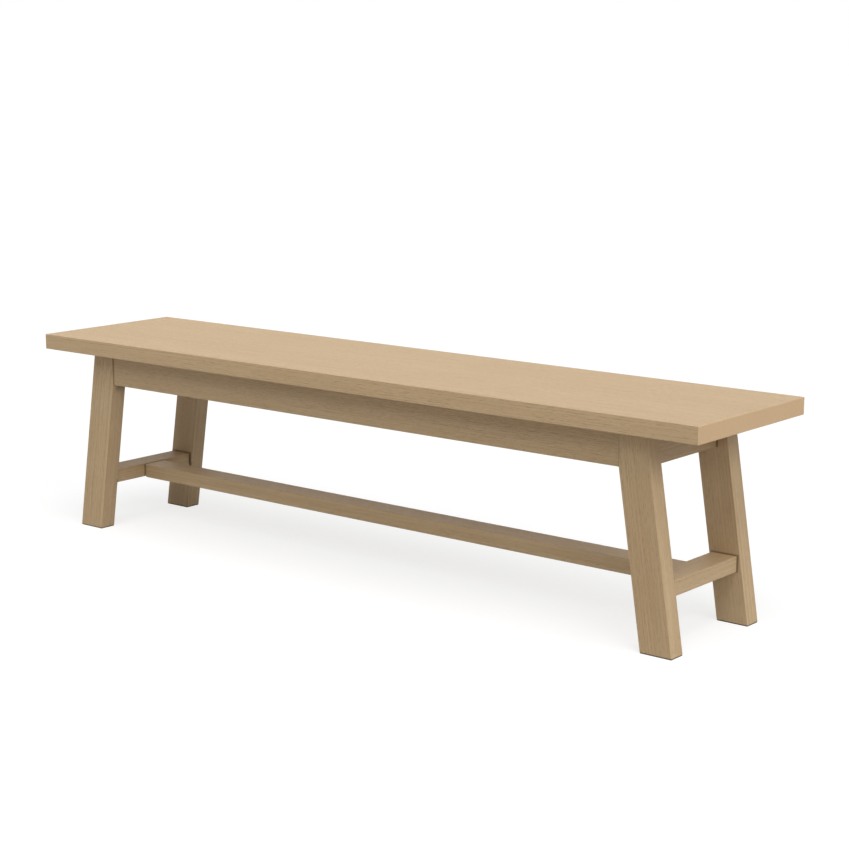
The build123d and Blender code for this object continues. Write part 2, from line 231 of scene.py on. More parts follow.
def ease(bm, edges, width, segments):
    """Rounds edges over by a small radius."""
    bmesh.ops.bevel(
        bm, geom=edges, offset=width, offset_type="OFFSET", affect="EDGES", segments=segments,
        profile=0.5, material=-1, clamp_overlap=True,
    )


def reach_of(edge, axis):
    """How far an edge reaches along an axis."""
    return abs(edge.verts[0].co[axis] - edge.verts[1].co[axis])


def lower_edges(bm, axis):
    """The edges along an axis on a block's underside."""
    middle = sum((v.co for v in bm.verts), Vector()) / len(bm.verts)
    lower = [e for e in bm.edges if all(v.co.z < middle.z for v in e.verts)]
    return [e for e in lower if reach_of(e, axis) > MERGE_DISTANCE]


def end_faces(bm, axis):
    """The two faces that close a piece's ends along an axis."""
    ends = sorted(bm.faces, key=lambda face: face.calc_center_median()[axis])
    return ends[0], ends[-1]


def add_tenon(bm, shoulder, size, reach):
    """Draws a tenon of a width and height out of a shoulder that faces along Y.

    Its end lies at a reach from the bench's middle.
    """
    centre = shoulder.calc_center_bounds()
    sides = [[v.co[axis] for v in shoulder.verts] for axis in (X, Z)]
    width, height = (max(side) - min(side) for side in sides)
    root = bmesh.ops.extrude_discrete_faces(bm, faces=[shoulder])["faces"][0]
    shrink = Vector((size[0] / width, 1, size[1] / height))
    bmesh.ops.scale(bm, vec=shrink, space=Matrix.Translation(-centre), verts=root.verts)
    tip = bmesh.ops.extrude_discrete_faces(bm, faces=[root])["faces"][0]
    out = reach - abs(centre.y)
    bmesh.ops.translate(bm, vec=Vector((0, out if centre.y > 0 else -out, 0)), verts=tip.verts)


def grain_map(bm, lie, rows):
    """Lays a piece's sides out as strips along the grain, in one row or two.

    A baked picture then has most of its pixels across the grain. In two rows, the widest side
    has the first to itself.
    """
    layer = bm.loops.layers.uv.new(BAKE_MAP)
    turn = lie.to_matrix()
    sides = {}
    for face in bm.faces:
        normal = turn @ face.normal
        axis = max(range(3), key=lambda i: abs(normal[i]))
        sides.setdefault((axis, normal[axis] > 0), []).append(face)
    in_order = sorted(sides.items(), key=lambda side: side[0])
    strips = [strip(turn, axis, faces) for (axis, _), faces in in_order]
    strips.sort(key=lambda found: -found[1])
    shares = [strips] if rows == 1 else [strips[:1], strips[1:]]
    for row, found in enumerate(shares):
        total = sum(width for _, width in found)
        start = 0.0
        for corners, width in found:
            share = width / total
            for loop, across, along in corners:
                u = start + STRIP_MARGIN + across * (share - 2 * STRIP_MARGIN)
                v = (row + STRIP_MARGIN + along * (1 - 2 * STRIP_MARGIN)) / len(shares)
                loop[layer].uv = (u, v)
            start += share


def strip(turn, axis, faces):
    """One side's corners with their shares of its width and length, and its width."""
    corners = [(loop, turn @ loop.vert.co) for face in faces for loop in face.loops]
    lows = [min(place[i] for _, place in corners) for i in range(3)]
    spans = [max(place[i] for _, place in corners) - lows[i] for i in range(3)]
    across, along = sorted((i for i in range(3) if i != axis), key=lambda i: spans[i])
    shares = [
        (
            loop,
            (place[across] - lows[across]) / spans[across],
            (place[along] - lows[along]) / spans[along],
        )
        for loop, place in corners
    ]
    return shares, spans[across]


def finish_piece(name, bm, material, node):
    """Makes a mesh the piece that stands for a CAD node, evenly shaded round its soft edges."""
    bmesh.ops.recalc_face_normals(bm, faces=bm.faces)
    for face in bm.faces:
        face.smooth = True
    for edge in bm.edges:
        edge.smooth = edge.calc_face_angle(0) < SHARP_ANGLE
    mesh = bpy.data.meshes.new(name)
    bm.to_mesh(mesh)
    bm.free()
    mesh.materials.append(material)
    piece = bpy.data.objects.new(name, mesh)
    bpy.context.scene.collection.objects.link(piece)
    shading = piece.modifiers.new("Even shading", "WEIGHTED_NORMAL")
    shading.keep_sharp = True
    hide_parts(node)
    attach(piece, BODY)


def finish_member(bm, node, lie, pith, patches=(), rows=1, figure=None):
    """Makes a mesh the oak piece that stands for a CAD node."""
    bmesh.ops.recalc_face_normals(bm, faces=bm.faces)
    grain_map(bm, lie, rows)
    finish_piece(f"oak_{node}", bm, oak(node, lie, pith, patches, figure), node)


def solids_of(node):
    """The vertices of each separate solid in a CAD node, as lists of places."""
    bm = bmesh.new()
    bm.from_mesh(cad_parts[node].data)
    bmesh.ops.remove_doubles(bm, verts=bm.verts, dist=MERGE_DISTANCE)
    seen = set()
    solids = []
    for first in bm.verts:
        if first in seen:
            continue
        seen.add(first)
        found = [first]
        for vert in found:
            others = [edge.other_vert(vert) for edge in vert.link_edges]
            near = [other for other in others if other not in seen]
            seen.update(near)
            found.extend(near)
        solids.append([vert.co.copy() for vert in found])
    bm.free()
    return solids


def coat(node, material):
    """Gives a CAD node its material."""
    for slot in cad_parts[node].material_slots:
        slot.material = material


# Parts of materials
def add(tree, kind, inputs=None, **settings):
    """A shader node with its settings, and its inputs set or linked."""
    node = tree.nodes.new(kind)
    for name, value in settings.items():
        setattr(node, name, value)
    for name, value in (inputs or {}).items():
        if isinstance(value, bpy.types.NodeSocket):
            tree.links.new(value, node.inputs[name])
        else:
            node.inputs[name].default_value = value
    return node


def maths(tree, operation, first, second=0.0, third=0.0):
    """The result of a sum on numbers."""
    inputs = {0: first, 1: second, 2: third}
    return add(tree, "ShaderNodeMath", inputs, operation=operation).outputs[0]


def vectors(tree, operation, first, second=(0, 0, 0), third=(0, 0, 0), output="Vector"):
    """The result of a sum on vectors."""
    inputs = {0: first, 1: second, 2: third}
    return add(tree, "ShaderNodeVectorMath", inputs, operation=operation).outputs[output]


def object_place(tree):
    """The place on the bench."""
    return add(tree, "ShaderNodeTexCoord").outputs["Object"]


def stretched_noise(tree, place, scale, detail=2.0, roughness=0.5, output="Fac"):
    """Noise from 0 to 1 that changes this often in a metre along each axis."""
    stretched = vectors(tree, "MULTIPLY", place, scale)
    inputs = {"Vector": stretched, "Scale": 1.0, "Detail": detail, "Roughness": roughness}
    return add(tree, "ShaderNodeTexNoise", inputs).outputs[output]


def ramp(tree, value, low, high, to_low=0.0, to_high=1.0):
    """A value carried smoothly from one range to another."""
    inputs = {
        "Value": value, "From Min": low, "From Max": high, "To Min": to_low, "To Max": to_high,
    }
    node = add(tree, "ShaderNodeMapRange", inputs, interpolation_type="SMOOTHSTEP")
    return node.outputs["Result"]


# The sockets of a mix of colours: its two colours and its result.
MIX_FIRST, MIX_SECOND, MIX_RESULT = 6, 7, 2


def blend(tree, factor, first, second):
    """A colour between two colours."""
    mix = add(tree, "ShaderNodeMix", {"Factor": factor}, data_type="RGBA")
    for index, value in ((MIX_FIRST, first), (MIX_SECOND, second)):
        if isinstance(value, bpy.types.NodeSocket):
            tree.links.new(value, mix.inputs[index])
        else:
            mix.inputs[index].default_value = (*value, 1)
    return mix.outputs[MIX_RESULT]


def lightened(colour, gain, lift=0.01):
    """A lighter shade of a dark colour."""
    return [value * gain + lift for value in colour]


def new_material(name):
    """A material with an empty tree, and its tree."""
    material = bpy.data.materials.new(name)
    material.use_nodes = True
    material.node_tree.nodes.clear()
    return material, material.node_tree


def close_material(tree, colour, roughness, height, depth, **sockets):
    """Ends a tree with a surface of a colour, a roughness and a relief."""
    bump = add(tree, "ShaderNodeBump", {"Height": height, "Distance": depth, "Strength": 1.0})
    inputs = {"Base Color": colour, "Roughness": roughness, "Normal": bump.outputs[0]}
    inputs.update({name.replace("_", " "): value for name, value in sockets.items()})
    shader = add(tree, "ShaderNodeBsdfPrincipled", inputs)
    add(tree, "ShaderNodeOutputMaterial", {"Surface": shader.outputs[0]})


def near_boxes(tree, place, boxes, reach, blur):
    """1 within a reach of some boxes and 0 outside it, with an edge blurred to both sides."""
    nearness = 0.0
    for low, high in boxes:
        offset = vectors(tree, "SUBTRACT", place, (low + high) / 2)
        beyond = vectors(tree, "SUBTRACT", vectors(tree, "ABSOLUTE", offset), (high - low) / 2)
        axes = add(tree, "ShaderNodeSeparateXYZ", {0: beyond}).outputs
        farthest = maths(tree, "MAXIMUM", axes[0], maths(tree, "MAXIMUM", axes[1], axes[2]))
        inside = ramp(tree, farthest, reach - blur, reach + blur, to_low=1.0, to_high=0.0)
        nearness = maths(tree, "MAXIMUM", inside, nearness)
    return nearness


# How the oak grew: how far along the log a piece may be cut, how often in a metre and how far
# the grain drifts, how far the rings waver, and how often and by how many rings their pace
# changes.
LOG_REACH = 9
GRAIN_DRIFT = (0.9, 4.5, 4.5)
DRIFT_REACH = (0, 0.016, 0.016)
RING_WAVER = 0.0016
PACE_SCALE = 0.37
PACE_CHANGE = 1.6

# The shares of a ring over which the open early wood sets in and ends.
EARLY_START = (0.0, 0.07)
EARLY_END = (0.2, 0.75)

# The oak's noises: how often each changes in a metre along and across the grain, with its detail
# and roughness.
OAK_NOISES = {
    "wave": ((9, 60, 60), 1.0, 0.5),
    "streak": ((6, 300, 300), 3.0, 0.6),
    "fibre": ((22, 1100, 1100), 2.0, 0.6),
    "broad": ((0.8, 9, 9), 2.0, 0.5),
    "vessel": ((75, 2300, 2300), 1.0, 0.5),
    "fleck": ((55, 420, 420), 1.0, 0.5),
}

# How dark the oak is between its two colours: everywhere, in early wood, and for each noise over
# a part of its range.
GROUND_SHADE = 0.185
EARLY_SHADE = 0.2
NOISE_SHADES = {
    "streak": ((0.3, 0.7), 0.3),
    "broad": ((0.3, 0.7), 0.2),
    "fibre": ((0.35, 0.65), 0.2),
    "fleck": ((0.64, 0.74), -0.22),
}
FIGURE_RANGE = (0.3, 0.7)
FIGURE_SHADE = 0.55

# The pores: the part of the vessels' noise where one opens, how many of them late wood has, how
# dark and how much rougher they are, and how far the fibres stand up against a pore's depth.
PORE_EDGE = (0.56, 0.68)
LATE_PORES = 0.25
PORE_SHADE = 0.35
PORE_ROUGHNESS = 0.25
FIBRE_RELIEF = 0.25

# The lacquer: the part of the streaks' noise that its roughness follows, how much smoother and
# rougher that makes it, and how strong its gloss is.
LACQUER_RANGE = (0.2, 0.8)
LACQUER_SPREAD = (-0.05, 0.06)
LACQUER_SPECULAR = 0.4


def grain_place(tree, node, lie, pith):
    """The place in the log.

    X runs along the grain, and the pith lies a little way off the piece's middle.
    """
    low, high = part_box(node)
    chance = Random(node)
    start = Vector((chance.uniform(-LOG_REACH, LOG_REACH), pith[0], pith[1]))
    shift = start - lie.to_matrix() @ ((low + high) / 2)
    inputs = {"Vector": object_place(tree), "Location": shift, "Rotation": lie}
    return add(tree, "ShaderNodeMapping", inputs).outputs[0]


def early_wood(tree, place, wave, ring_spacing):
    """1 in the open early wood of each growth ring and 0 in its dense late wood."""
    drift = stretched_noise(tree, place, GRAIN_DRIFT, output="Color")
    bent = vectors(tree, "MULTIPLY_ADD", drift, DRIFT_REACH, place)
    across = vectors(tree, "MULTIPLY", bent, (0, 1, 1))
    radius = vectors(tree, "LENGTH", across, output="Value")
    radius = maths(tree, "MULTIPLY_ADD", wave, RING_WAVER, radius)
    rings = maths(tree, "DIVIDE", radius, ring_spacing)
    inputs = {"W": rings, "Scale": PACE_SCALE, "Detail": 1.0}
    pace = add(tree, "ShaderNodeTexNoise", inputs, noise_dimensions="1D").outputs["Fac"]
    season = maths(tree, "FRACT", maths(tree, "MULTIPLY_ADD", pace, PACE_CHANGE, rings))
    ending = ramp(tree, season, *EARLY_END, to_low=1.0, to_high=0.0)
    return maths(tree, "MULTIPLY", ramp(tree, season, *EARLY_START), ending)


def oak(node, lie, pith, patches=(), figure=None):
    """Lacquered oak: growth rings round a pith, open pores, ray flecks and long soft streaks.

    Each patch, such as painted shade round a joint or a paler tone, is a list of boxes, a reach
    round them, the blur of its edge, and the tint's colour and strength. A figure is one more
    noise, of stronger streaks.
    """
    wood = bpy.context.scene.bench_wood
    material, tree = new_material(f"oak_{node}")
    place = grain_place(tree, node, lie, pith)
    noises = {name: stretched_noise(tree, place, *kind) for name, kind in OAK_NOISES.items()}
    early = early_wood(tree, place, noises["wave"], wood.ring_spacing)
    crowd = maths(tree, "MULTIPLY_ADD", early, 1 - LATE_PORES, LATE_PORES)
    pores = maths(tree, "MULTIPLY", ramp(tree, noises["vessel"], *PORE_EDGE), crowd)
    shade = maths(tree, "MULTIPLY_ADD", early, EARLY_SHADE, GROUND_SHADE)
    for name, (part, strength) in NOISE_SHADES.items():
        shade = maths(tree, "MULTIPLY_ADD", ramp(tree, noises[name], *part), strength, shade)
    if figure:
        streaks = stretched_noise(tree, place, *figure)
        streaks = ramp(tree, streaks, *FIGURE_RANGE, to_low=-0.5, to_high=0.5)
        shade = maths(tree, "MULTIPLY_ADD", streaks, FIGURE_SHADE, shade)
    colour = blend(tree, shade, wood.oak_light, wood.oak_dark)
    colour = blend(tree, maths(tree, "MULTIPLY", pores, PORE_SHADE), colour, wood.oak_pores)
    # Patches tint the colour: painted shade round joints and behind the aprons, or a paler tone.
    spot = object_place(tree)
    for boxes, reach, blur, tint, strength in patches:
        nearness = near_boxes(tree, spot, boxes, reach, blur)
        colour = blend(tree, maths(tree, "MULTIPLY", nearness, strength), colour, tint)
    sunk = maths(tree, "MULTIPLY", pores, -1.0)
    height = maths(tree, "MULTIPLY_ADD", noises["fibre"], FIBRE_RELIEF, sunk)
    smoothest, roughest = (wood.roughness + step for step in LACQUER_SPREAD)
    lacquer = ramp(tree, noises["streak"], *LACQUER_RANGE, smoothest, roughest)
    roughness = maths(tree, "MULTIPLY_ADD", pores, PORE_ROUGHNESS, lacquer)
    close_material(
        tree, colour, roughness, height, wood.pore_depth, Specular_IOR_Level=LACQUER_SPECULAR
    )
    return material


def beech(
    name, lie, fleck_share=0.5, ring_share=0.6, smoothest=0.6, ring_roughness=0.1, relief=0.0001
):
    """Bare beech: an even ground with short dark ray flecks and soft rings."""
    wood = bpy.context.scene.bench_wood
    material, tree = new_material(name)
    inputs = {"Vector": object_place(tree), "Rotation": lie}
    place = add(tree, "ShaderNodeMapping", inputs).outputs[0]
    rings = stretched_noise(tree, place, scale=(4, 320, 320))
    fleck = stretched_noise(tree, place, scale=(260, 1300, 1300), detail=0.0)
    fleck = ramp(tree, fleck, low=0.6, high=0.7)
    shade = maths(tree, "MULTIPLY", rings, ring_share)
    shade = maths(tree, "MULTIPLY_ADD", fleck, fleck_share, shade)
    colour = blend(tree, shade, wood.beech_light, wood.beech_dark)
    roughness = maths(tree, "MULTIPLY_ADD", rings, ring_roughness, smoothest)
    close_material(tree, colour, roughness, maths(tree, "MULTIPLY", fleck, -1.0), relief)
    return material


def zinc_steel(cast=(0.93, 0.86, 0.7), smoothest=0.24, roughest=0.42, relief=0.00003):
    """Zinc-plated steel: a cool grey metal, in patches with a faint yellow cast, and fine pits."""
    hardware = bpy.context.scene.bench_hardware
    material, tree = new_material("zinc_steel")
    place = object_place(tree)
    cloud = stretched_noise(tree, place, scale=(260, 260, 260), detail=3.0, roughness=0.6)
    pits = stretched_noise(tree, place, scale=(2600, 2600, 2600), detail=1.0)
    warm = [value * tint for value, tint in zip(hardware.zinc, cast)]
    colour = blend(tree, ramp(tree, cloud, low=0.35, high=0.75), hardware.zinc, warm)
    roughness = ramp(tree, cloud, 0.25, 0.75, smoothest, roughest)
    close_material(tree, colour, roughness, pits, relief, Metallic=1.0)
    return material


def black_steel(worn_gain=3.5, worn_share=0.6, smoothest=0.4, scuff_roughness=0.15, relief=0.00006):
    """Black coated steel: a satin film with a fine wavy relief that thins to grey in scuffs."""
    hardware = bpy.context.scene.bench_hardware
    material, tree = new_material("black_steel")
    place = object_place(tree)
    waves = stretched_noise(tree, place, scale=(900, 900, 900), detail=1.0)
    scuff = stretched_noise(tree, place, scale=(70, 700, 700), detail=3.0, roughness=0.7)
    scuff = ramp(tree, scuff, low=0.62, high=0.72)
    worn = lightened(hardware.black, worn_gain)
    colour = blend(tree, maths(tree, "MULTIPLY", scuff, worn_share), hardware.black, worn)
    roughness = maths(tree, "MULTIPLY_ADD", scuff, scuff_roughness, smoothest)
    close_material(tree, colour, roughness, waves, relief)
    return material


def felt(hair_gain=2.2, hair_share=0.5, dark_share=0.6, relief=0.0004, sheen=0.3):
    """Pressed wool felt: matted fibres with lighter hairs."""
    hardware = bpy.context.scene.bench_hardware
    material, tree = new_material("felt")
    place = object_place(tree)
    mat = stretched_noise(tree, place, scale=(900, 900, 900), detail=4.0, roughness=0.7)
    hairs = stretched_noise(tree, place, scale=(2600, 700, 2600))
    hairs = ramp(tree, hairs, low=0.55, high=0.7)
    light = lightened(hardware.felt, hair_gain)
    dark = [value * dark_share for value in hardware.felt]
    colour = blend(tree, ramp(tree, mat, low=0.3, high=0.7), dark, hardware.felt)
    colour = blend(tree, maths(tree, "MULTIPLY", hairs, hair_share), colour, light)
    roughness = ramp(tree, mat, low=0.3, high=0.7, to_low=0.98, to_high=0.86)
    close_material(tree, colour, roughness, mat, relief, Sheen_Weight=sheen)
    return material


# Joinery that several operators share
def joint_reach(joinery, end):
    """How far the painted shade line round a joint reaches at one end of the bench."""
    return joinery.shade_reach if end == "left" else joinery.near_shade_reach


def body_box(node, gap=0.0, rise=0.0):
    """The corners of a rail or short apron between two legs.

    There may be a gap to each leg, and its underside may be raised.
    """
    low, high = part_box(node)
    shoulder = abs(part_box("leg_front_right")[1].y) - gap
    return Vector((low.x, -shoulder, low.z + rise)), Vector((high.x, shoulder, high.z))


def tenoned_bar(joinery, node, tenon, soft_edges):
    """A bar between two legs with softened edges and a tenon at each end."""
    bm = bar(*body_box(node, gap=joinery.shoulder_gap))
    ease(bm, soft_edges(bm), joinery.frame_arris, joinery.arris_segments)
    for face in end_faces(bm, Y):
        add_tenon(bm, face, tenon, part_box(node)[1].y)
    return bm


# Operators
class BENCH_OT_seat(bpy.types.Operator):
    """Makes the seat slab with softened edges"""

    bl_idname = "bench.seat"
    bl_label = "Seat Slab"
    bl_options = {"REGISTER", "UNDO"}

    pith = (0.34, 0.15)
    pale_strength = 0.1
    pale_end_strength = 0.5

    def execute(self, context):
        joinery = context.scene.bench_joinery
        low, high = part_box("seat_top")
        bm = bar(low, high)
        ease(bm, bm.edges[:], joinery.seat_arris, joinery.arris_segments)
        ends = [
            (Vector((x, low.y, low.z)), Vector((x, high.y, high.z))) for x in (high.x, low.x)
        ]
        pale = context.scene.bench_wood.oak_pale
        reach = joinery.seat_arris
        patches = [
            ([(low, high)], reach, LINE_BLUR, pale, self.pale_strength),
            (ends, reach, LINE_BLUR, pale, self.pale_end_strength),
        ]
        finish_member(bm, "seat_top", ALONG_BENCH, self.pith, patches, rows=2)
        return {"FINISHED"}


class BENCH_OT_legs(bpy.types.Operator):
    """Makes the four leaning legs with their upright shoulders"""

    bl_idname = "bench.legs"
    bl_label = "Legs"
    bl_options = {"REGISTER", "UNDO"}

    pith_distance = 0.13
    shade_line_strength = 0.7
    corner_shade_strength = 0.85

    # Edges that rise less stay sharp, and the corner cut's slant may be off by the slack.
    shortest_rise = 0.03
    cut_slack = 0.1

    def execute(self, context):
        joinery = context.scene.bench_joinery
        tint = context.scene.bench_wood.painted_joint_shade
        depth = joinery.corner_shade
        for side in SIDES:
            for end in ENDS:
                bm = self.right_front_leg(joinery)
                flip = Vector((1 if end == "right" else -1, 1 if side == "front" else -1, 1))
                bmesh.ops.scale(bm, vec=flip, verts=bm.verts)
                node = f"leg_{side}_{end}"
                chance = Random(node)
                turn = chance.uniform(0, 2 * pi)
                pith = (self.pith_distance * cos(turn), self.pith_distance * sin(turn))
                lie = Euler((0, radians(90) + joinery.leg_lean * flip.x, 0))
                reach = joint_reach(joinery, end)
                neighbours = [
                    body_box(f"cross_rail_{end}"), body_box(f"apron_{end}", rise=reach)
                ]
                corner = [self.behind_apron(node, side, end)]
                # Painted shade: a dark line round the cross rail's and short apron's ends, and a
                # soft shade on the inner face under the long apron.
                patches = [
                    (neighbours, reach, LINE_BLUR, tint, self.shade_line_strength),
                    (corner, depth, depth, tint, self.corner_shade_strength),
                ]
                finish_member(bm, node, lie, pith, patches, figure=CROSSWISE_STREAKS)
        return {"FINISHED"}

    def behind_apron(self, node, side, end):
        """The corners of the upright part of a leg's inner face behind the long apron, where shade
        is painted.
        """
        low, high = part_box(node)
        apron_low, apron_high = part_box(f"apron_{side}")
        face = high.x if end == "left" else low.x
        sides = (apron_high.y, high.y) if side == "front" else (low.y, apron_low.y)
        return Vector((face, sides[0], apron_low.z)), Vector((face, sides[1], high.z))

    def right_front_leg(self, joinery):
        """The leg at the front right: a leaning part, an upright shoulder, and softened edges."""
        low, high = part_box("leg_front_right")
        shoulder_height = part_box("apron_front")[0].z
        slope = tan(joinery.leg_lean)
        places = [v.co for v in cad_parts["leg_front_right"].data.vertices]
        top_outer = max(place.x for place in places if place.z > high.z - MERGE_DISTANCE)
        foot_inner = low.x + (shoulder_height - low.z) * slope
        foot_outer = top_outer + (high.z - low.z) * slope
        bm = bmesh.new()
        outline = [
            (foot_inner, low.y), (foot_outer, low.y), (foot_outer, high.y), (foot_inner, high.y)
        ]
        foot = bm.faces.new([bm.verts.new((x, y, low.z)) for x, y in outline])
        rise = shoulder_height - low.z
        ledge = self.raise_face(bm, foot, Vector((-rise * slope, 0, rise)), keep=True)
        self.cut_corner(bm, ledge, joinery.corner_flat, low.x, high.y)
        ledge = max(bm.faces, key=lambda face: face.calc_center_median().z + face.calc_area())
        rise = high.z - shoulder_height
        cap = self.raise_face(bm, ledge, Vector((0, 0, rise)), keep=False)
        middle = (low.x + top_outer) / 2
        outer = [v for v in cap.verts if v.co.x > middle]
        bmesh.ops.translate(bm, vec=Vector((-rise * slope, 0, 0)), verts=outer)
        bmesh.ops.recalc_face_normals(bm, faces=bm.faces)
        ease(bm, self.soft_edges(bm, low.z), joinery.frame_arris, joinery.arris_segments)
        return bm

    def raise_face(self, bm, face, rise, keep):
        """Draws a face out by a vector, and returns the face at the new end.

        The old face is kept, or deleted where it would lie inside the leg.
        """
        drawn = bmesh.ops.extrude_face_region(bm, geom=[face])["geom"]
        verts = [part for part in drawn if isinstance(part, bmesh.types.BMVert)]
        bmesh.ops.translate(bm, vec=rise, verts=verts)
        if not keep:
            bmesh.ops.delete(bm, geom=[face], context="FACES_ONLY")
        return next(part for part in drawn if isinstance(part, bmesh.types.BMFace))

    def cut_corner(self, bm, ledge, flat, inner_x, inside_y):
        """Splits the ledge across the corner behind the apron, square to the bolt."""
        reach = flat * sqrt(2)
        around = [ledge, *ledge.edges, *ledge.verts]
        corner = Vector((inner_x + reach, inside_y, ledge.calc_center_median().z))
        bmesh.ops.bisect_plane(
            bm, geom=around, plane_co=corner, plane_no=Vector((-1, 1, 0)), dist=MERGE_DISTANCE
        )

    def is_corner_cut(self, face):
        """Whether a face is upright and lies halfway between X and Y."""
        normal = face.normal
        skew = abs(abs(normal.x) - abs(normal.y))
        return skew < self.cut_slack and abs(normal.z) < self.cut_slack

    def soft_edges(self, bm, foot_height):
        """The leg's rising edges, apart from those of the corner cut, and those of the foot."""
        low = foot_height + MERGE_DISTANCE
        cut_edges = {edge for face in bm.faces if self.is_corner_cut(face) for edge in face.edges}
        rising = [e for e in bm.edges if reach_of(e, Z) > self.shortest_rise]
        foot = [e for e in bm.edges if all(v.co.z < low for v in e.verts)]
        return [e for e in rising if e not in cut_edges] + foot


class BENCH_OT_aprons(bpy.types.Operator):
    """Makes the long and short aprons, the short ones with their tenons"""

    bl_idname = "bench.aprons"
    bl_label = "Aprons"
    bl_options = {"REGISTER", "UNDO"}

    long_pith = (0.06, 0.16)
    short_pith = (0.05, -0.15)
    shade_line_strength = 0.43

    def execute(self, context):
        joinery = context.scene.bench_joinery
        tint = context.scene.bench_wood.painted_joint_shade
        for side in SIDES:
            node = f"apron_{side}"
            bm = bar(*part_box(node))
            ease(bm, lower_edges(bm, X), joinery.frame_arris, joinery.arris_segments)
            # Painted shade: a dark line on each long apron's ends, by the legs.
            lines = []
            for end in ENDS:
                leg = [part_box(f"leg_{side}_{end}")]
                reach = joint_reach(joinery, end)
                lines.append((leg, reach, LINE_BLUR, tint, self.shade_line_strength))
            finish_member(bm, node, ALONG_BENCH, self.long_pith, lines)
        for end in ENDS:
            node = f"apron_{end}"
            bm = tenoned_bar(joinery, node, joinery.apron_tenon, lambda body: lower_edges(body, Y))
            finish_member(bm, node, ACROSS_BENCH, self.short_pith, figure=LEVEL_STREAKS)
        return {"FINISHED"}


class BENCH_OT_rails(bpy.types.Operator):
    """Makes the two cross rails with their tenons, and the stretcher between them"""

    bl_idname = "bench.rails"
    bl_label = "Cross Rails and Stretcher"
    bl_options = {"REGISTER", "UNDO"}

    rail_pith = (0.11, 0.05)
    stretcher_pith = (0.12, 0.07)
    shade_line_strength = 0.6

    def execute(self, context):
        joinery = context.scene.bench_joinery
        tint = context.scene.bench_wood.painted_joint_shade
        low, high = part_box("stretcher")
        for end in ENDS:
            reach = joint_reach(joinery, end)
            # Painted shade: a dark line on the rail's inner face round the stretcher's end, kept
            # below the stretcher's top.
            under_top = [(low, high - Vector((0, 0, reach)))]
            line = (under_top, reach, LINE_BLUR, tint, self.shade_line_strength)
            node = f"cross_rail_{end}"
            bm = tenoned_bar(joinery, node, joinery.rail_tenon, lambda body: body.edges[:])
            finish_member(bm, node, ACROSS_BENCH, self.rail_pith, [line], figure=LEVEL_STREAKS)
        bm = bar(low, high)
        ease(bm, bm.edges[:], joinery.frame_arris, joinery.arris_segments)
        finish_member(bm, "stretcher", ALONG_BENCH, self.stretcher_pith, figure=LEVEL_STREAKS)
        return {"FINISHED"}


class BENCH_OT_supports(bpy.types.Operator):
    """Gives the cross braces and corner blocks under the seat their oak"""

    bl_idname = "bench.supports"
    bl_label = "Braces and Corner Blocks"
    bl_options = {"REGISTER", "UNDO"}

    brace_pith = (0.03, 0.12)
    block_pith = (0.07, 0.03)

    def execute(self, context):
        for end in ENDS:
            node = f"cross_brace_{end}"
            coat(node, oak(node, ACROSS_BENCH, self.brace_pith))
            for side in SIDES:
                node = f"corner_block_{side}_{end}"
                turn = radians(45) if (side == "front") == (end == "right") else radians(-45)
                coat(node, oak(node, Euler((0, 0, -turn)), self.block_pith))
        return {"FINISHED"}


class BENCH_OT_foot_pads(bpy.types.Operator):
    """Makes the felt pads under the feet"""

    bl_idname = "bench.foot_pads"
    bl_label = "Foot Pads"
    bl_options = {"REGISTER", "UNDO"}

    corner = 0.0012
    corner_segments = 4
    rim = 0.0003
    rim_segments = 2
    long_edge = 4 * corner
    cuts = 24

    # How far the edge is frayed, and the size of the frays.
    fray = 0.00012
    fray_pitch = 0.0011

    def execute(self, context):
        material = felt()
        for side in SIDES:
            for end in ENDS:
                node = f"foot_pad_{side}_{end}"
                finish_piece(f"felt_{node}", self.pad(node), material, node)
        return {"FINISHED"}

    def pad(self, node):
        """A pad with round corners, a soft rim and a slightly frayed edge."""
        low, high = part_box(node)
        bm = bar(low, high)
        rising = [e for e in bm.edges if reach_of(e, Z) > MERGE_DISTANCE]
        ease(bm, rising, self.corner, self.corner_segments)
        level = [e for e in bm.edges if reach_of(e, Z) < MERGE_DISTANCE]
        ease(bm, level, self.rim, self.rim_segments)
        long_edges = [e for e in bm.edges if e.calc_length() > self.long_edge]
        bmesh.ops.subdivide_edges(bm, edges=long_edges, cuts=self.cuts, use_grid_fill=True)
        middle = (low + high) / 2
        for vert in bm.verts:
            if low.z + MERGE_DISTANCE < vert.co.z < high.z - MERGE_DISTANCE:
                out = (vert.co - middle) * Vector((1, 1, 0))
                vert.co += out.normalized() * noise.noise(vert.co / self.fray_pitch) * self.fray
        return bm


